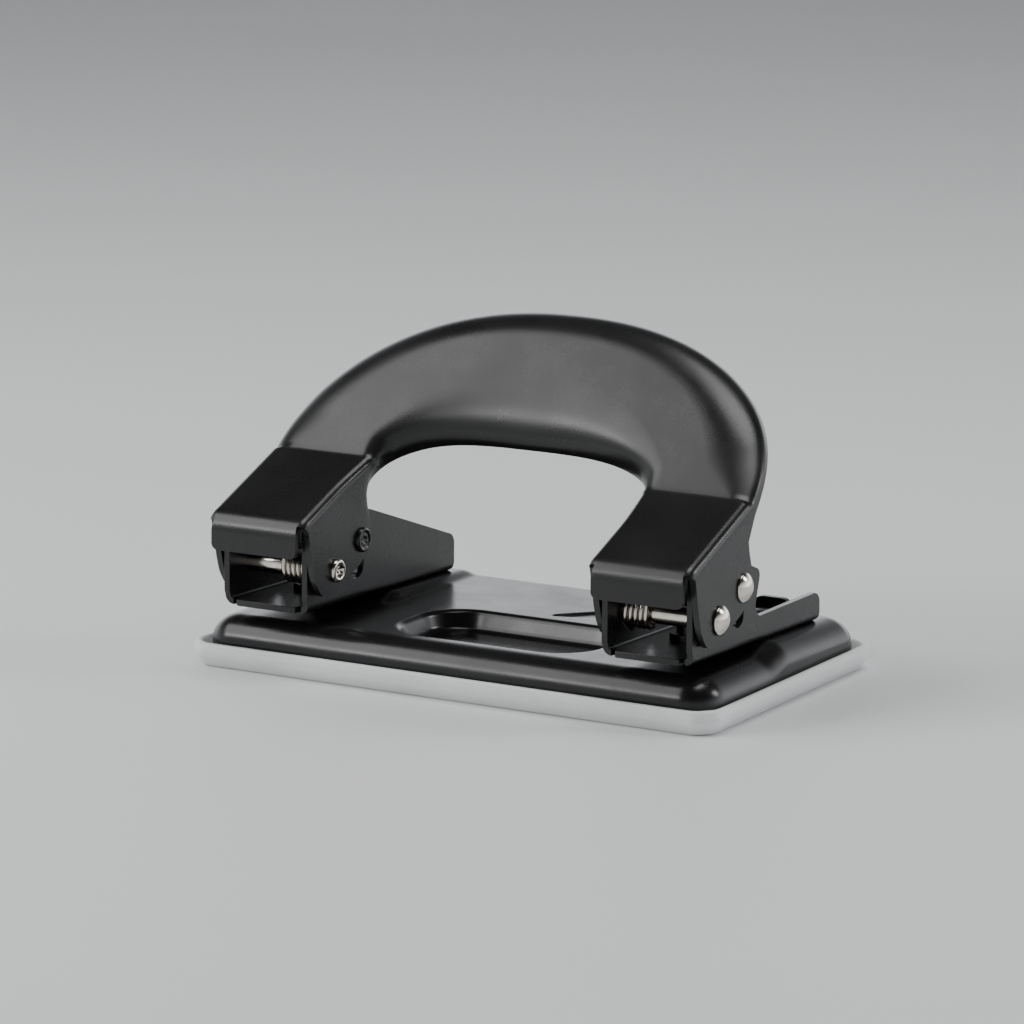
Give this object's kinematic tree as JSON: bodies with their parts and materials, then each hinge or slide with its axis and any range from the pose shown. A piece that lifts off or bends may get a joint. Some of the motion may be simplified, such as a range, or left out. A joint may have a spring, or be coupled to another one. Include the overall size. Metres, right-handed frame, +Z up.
{
  "type": "hole punch",
  "caption": "Desk hole punch with a bent-sheet arch handle pivoting on sheet-steel brackets over a pressed base and a clip-on chip tray.",
  "frame": {"origin": "on the desk, under the middle of the chip tray's underside", "axes": "+X along the front edge to the right, +Y from the paper mouth to the back, +Z up"},
  "size_m": [0.1106, 0.0676, 0.0642],
  "materials": {
    "black_sheet": "satin black powder paint with a fine texture",
    "black_base": "semi-gloss black paint",
    "tray_plastic": "milky translucent soft plastic",
    "nickel": "nickel plated, lightly brushed",
    "spring_wire": "nickel plated spring wire",
    "tool_steel": "blackened tool steel, ground",
    "black_ring": "black oxide, slightly glossy"
  },
  "bodies": {
    "frame": {"base_plate": "black_base", "die_ring_left": "tool_steel", "die_ring_right": "tool_steel", "bracket_left": "black_sheet", "bracket_right": "black_sheet", "bracket_rivets": "black_ring", "guide_bush_left": "tool_steel", "guide_bush_right": "tool_steel", "pivot_pin_left": "nickel", "pivot_pin_right": "nickel", "torsion_spring_left": "spring_wire", "torsion_spring_right": "spring_wire"},
    "tray": {"chip_tray": "tray_plastic"},
    "handle": {"handle": "black_sheet", "drive_pin_left": "nickel", "drive_pin_right": "nickel", "retaining_ring_left": "black_ring", "retaining_ring_right": "black_ring"},
    "punch_left": {"punch_left": "tool_steel"},
    "punch_right": {"punch_right": "tool_steel"}
  },
  "joints": [
    {"name": "handle_press", "type": "hinge", "parent": "frame", "child": "handle", "pos_m": [0, -0.0218, 0.0187], "axis": [-1, 0, 0], "range_deg": [0, 31], "stiffness_Nm_per_rad": 0.25, "springref_deg": -45.84, "deforming": ["torsion_spring_left", "torsion_spring_right"]},
    {"name": "punch_left_drop", "type": "slide", "parent": "frame", "child": "punch_left", "axis": [0, 0, -1], "range_m": [0, 0.00536]},
    {"name": "punch_right_drop", "type": "slide", "parent": "frame", "child": "punch_right", "axis": [0, 0, -1], "range_m": [0, 0.00536]},
    {"name": "tray_pull", "type": "slide", "parent": "frame", "child": "tray", "axis": [0, 0, -1], "range_m": [0, 0.03]}
  ],
  "couplings": [
    {"joint": "punch_left_drop", "follows": "handle_press", "m_per_rad": 0.009855},
    {"joint": "punch_right_drop", "follows": "handle_press", "m_per_rad": 0.009855}
  ]
}
